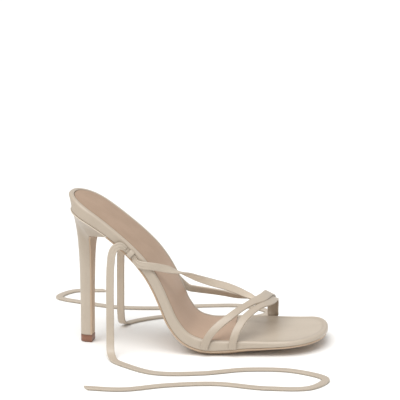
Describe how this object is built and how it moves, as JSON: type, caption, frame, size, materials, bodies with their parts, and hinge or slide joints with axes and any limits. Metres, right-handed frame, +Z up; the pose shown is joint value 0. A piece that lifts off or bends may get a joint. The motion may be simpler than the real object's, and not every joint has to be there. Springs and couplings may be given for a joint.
{
  "type": "high heel sandal",
  "caption": "High heel sandal for the right foot: square open toe, slim stiletto heel, narrow toe straps and a long flat tie through side keepers, for wrapping the ankle.",
  "frame": {"origin": "on the floor, under the middle of the shoe's box measured without the free tie ends", "axes": "+X from heel to toe, -Y toward the lateral side of the right foot, +Z up"},
  "size_m": [0.234, 0.2762, 0.1213],
  "materials": {
    "cream_leather": "satin smooth faux leather",
    "sock_leather": "matte tan lining",
    "sole_sheet": "matte tan sheet",
    "tip": "brown, slightly glossy"
  },
  "bodies": {
    "root": {"outsole": "sole_sheet", "footbed": "cream_leather", "sock": "sock_leather", "heel": "cream_leather", "heel_breast_cover": "sole_sheet", "heel_top_piece": "tip", "upper_straps": "cream_leather", "keeper_lateral": "cream_leather", "keeper_medial": "cream_leather", "tie_front": "cream_leather", "tie_end_lateral": "cream_leather", "tie_end_medial": "cream_leather"}
  },
  "joints": []
}
